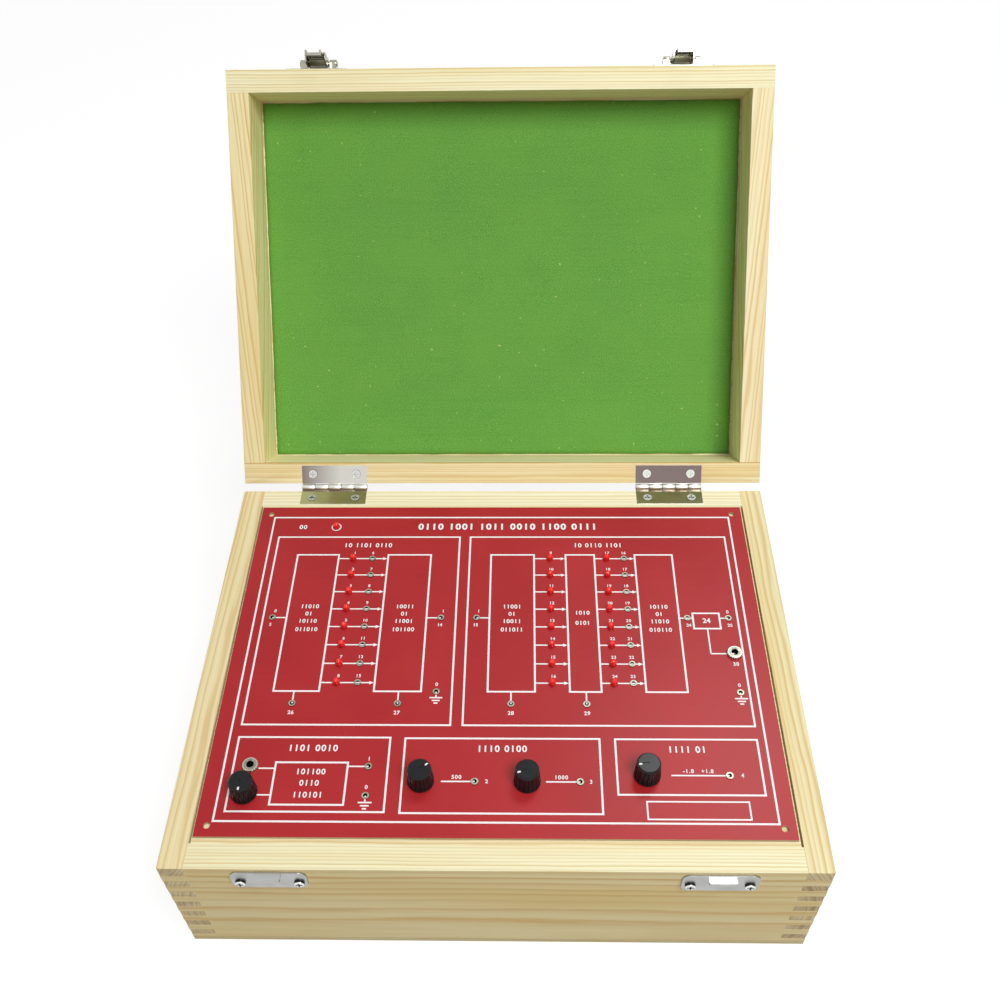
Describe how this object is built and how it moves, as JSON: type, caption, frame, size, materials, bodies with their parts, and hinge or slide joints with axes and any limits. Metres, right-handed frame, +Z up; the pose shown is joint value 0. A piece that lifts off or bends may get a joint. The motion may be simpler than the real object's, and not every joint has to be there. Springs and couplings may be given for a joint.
{
  "type": "pulse code modulation trainer",
  "caption": "Classroom signal trainer: printed panel with lamps, test sockets and knobs in a finger-jointed pine case with a felt-lined latching lid.",
  "frame": {"origin": "centre of the underside of the case's bottom panel", "axes": "+Z up; -Y towards the user, out of the front board with the strikes; +X to the user's right"},
  "size_m": [0.3, 0.4053, 0.277],
  "materials": {
    "base_long_pine": "pale sanded pine, grain along X",
    "base_side_pine": "pale sanded pine, grain along Y",
    "base_ply": "pale plywood",
    "batten_pine": "sawn pine",
    "lid_long_pine": "pale sanded pine, grain along X",
    "lid_side_pine": "pale sanded pine, grain along the lid's depth",
    "lid_ply": "pale plywood",
    "printed_panel": "glossy red screen-printed board",
    "red_lamp": "clear red epoxy",
    "socket_metal": "tinned turned socket",
    "jack_plastic": "black moulded",
    "nut_metal": "nickel plated",
    "pot_metal": "stamped steel",
    "chip_plastic": "black moulded",
    "can_blue": "dark sleeve",
    "resistor_body": "tan lacquer",
    "header_plastic": "black moulded",
    "ribbon_grey": "grey flat cable",
    "board_green": "green circuit board",
    "standoff_metal": "turned brass",
    "heatsink_metal": "black anodised",
    "core_iron": "varnished laminations",
    "coil_tape": "yellow tape over the winding",
    "fitting_steel": "zinc plated",
    "inlet_plastic": "black moulded",
    "pin_metal": "nickel plated brass",
    "screw_metal": "bright zinc plated",
    "rocker_plastic": "black gloss rocker",
    "wire_jacket": "insulated wire",
    "strike_metal": "satin nickel",
    "hinge_metal": "nickel plated, slightly dull",
    "latch_metal": "nickel plated",
    "green_felt": "green felt",
    "knob_plastic": "black moulded, fluted",
    "shaft_metal": "turned"
  },
  "bodies": {
    "base": {"base_front_board": "base_long_pine", "base_back_board": "base_long_pine", "base_side_boards": "base_side_pine", "base_bottom_panel": "base_ply", "panel_battens": "batten_pine", "control_panel": "printed_panel", "signal_lamps": "red_lamp", "power_lamp": "red_lamp", "test_sockets": "socket_metal", "audio_jacks": "jack_plastic", "audio_jack_nuts": "nut_metal", "potentiometers": "pot_metal", "logic_chips": "chip_plastic", "panel_capacitors": "can_blue", "lamp_resistors": "resistor_body", "panel_headers": "header_plastic", "supply_ribbon": "ribbon_grey", "supply_board": "board_green", "supply_standoffs": "standoff_metal", "supply_regulators": "chip_plastic", "regulator_heatsinks": "heatsink_metal", "supply_capacitors": "can_blue", "bridge_rectifier": "chip_plastic", "transformer_core": "core_iron", "transformer_coil": "coil_tape", "transformer_strap": "fitting_steel", "power_inlet": "inlet_plastic", "inlet_pins": "pin_metal", "inlet_screws": "screw_metal", "switch_housing": "inlet_plastic", "power_wires": "wire_jacket", "strikes": "strike_metal", "base_hinge_leaves": "hinge_metal", "hinge_pins": "hinge_metal", "base_screws": "screw_metal", "supply_screws": "screw_metal"},
    "lid": {"lid_front_board": "lid_long_pine", "lid_back_board": "lid_long_pine", "lid_side_boards": "lid_side_pine", "lid_top_panel": "lid_ply", "felt_lining": "green_felt", "lid_hinge_leaves": "hinge_metal", "latch_plates": "latch_metal", "lid_screws": "screw_metal"},
    "left_flap": {"left_latch_flap": "latch_metal", "left_latch_pins": "latch_metal"},
    "left_link": {"left_latch_link": "latch_metal"},
    "right_flap": {"right_latch_flap": "latch_metal", "right_latch_pins": "latch_metal"},
    "right_link": {"right_latch_link": "latch_metal"},
    "mic_gain": {"mic_gain_knob": "knob_plastic", "mic_gain_shaft": "shaft_metal"},
    "low_tone": {"low_tone_knob": "knob_plastic", "low_tone_shaft": "shaft_metal"},
    "high_tone": {"high_tone_knob": "knob_plastic", "high_tone_shaft": "shaft_metal"},
    "dc_level": {"dc_level_knob": "knob_plastic", "dc_level_shaft": "shaft_metal"},
    "rocker": {"switch_rocker": "rocker_plastic"}
  },
  "joints": [
    {"name": "lid_hinge", "type": "hinge", "parent": "base", "child": "lid", "pos_m": [0, 0.11735, 0.0806], "axis": [-1, 0, 0], "range_deg": [-126.6, 58.4]},
    {"name": "left_latch_lever", "type": "hinge", "parent": "lid", "child": "left_flap", "pos_m": [-0.1007, 0.26978, 0.26304], "axis": [-1, 0, 0], "range_deg": [-9, 95]},
    {"name": "left_latch_swing", "type": "hinge", "parent": "left_flap", "child": "left_link", "pos_m": [-0.1007, 0.27117, 0.26076], "axis": [1, 0, 0], "range_deg": [0, 12]},
    {"name": "right_latch_lever", "type": "hinge", "parent": "lid", "child": "right_flap", "pos_m": [0.1007, 0.26978, 0.26304], "axis": [-1, 0, 0], "range_deg": [-9, 95]},
    {"name": "right_latch_swing", "type": "hinge", "parent": "right_flap", "child": "right_link", "pos_m": [0.1007, 0.27117, 0.26076], "axis": [1, 0, 0], "range_deg": [0, 12]},
    {"name": "mic_gain_turn", "type": "hinge", "parent": "base", "child": "mic_gain", "pos_m": [-0.11635, -0.0788, 0.0816], "axis": [0, 0, 1], "range_deg": [-300, 0]},
    {"name": "low_tone_turn", "type": "hinge", "parent": "base", "child": "low_tone", "pos_m": [-0.03465, -0.07245, 0.0816], "axis": [0, 0, 1], "range_deg": [-97, 203]},
    {"name": "high_tone_turn", "type": "hinge", "parent": "base", "child": "high_tone", "pos_m": [0.01495, -0.07245, 0.0816], "axis": [0, 0, 1], "range_deg": [-260, 40]},
    {"name": "dc_level_turn", "type": "hinge", "parent": "base", "child": "dc_level", "pos_m": [0.07085, -0.06885, 0.0816], "axis": [0, 0, 1], "range_deg": [-249, 51]},
    {"name": "power_switch", "type": "hinge", "parent": "base", "child": "rocker", "pos_m": [0.05, 0.114, 0.02], "axis": [0, 0, 1], "range_deg": [-18, 0]}
  ]
}
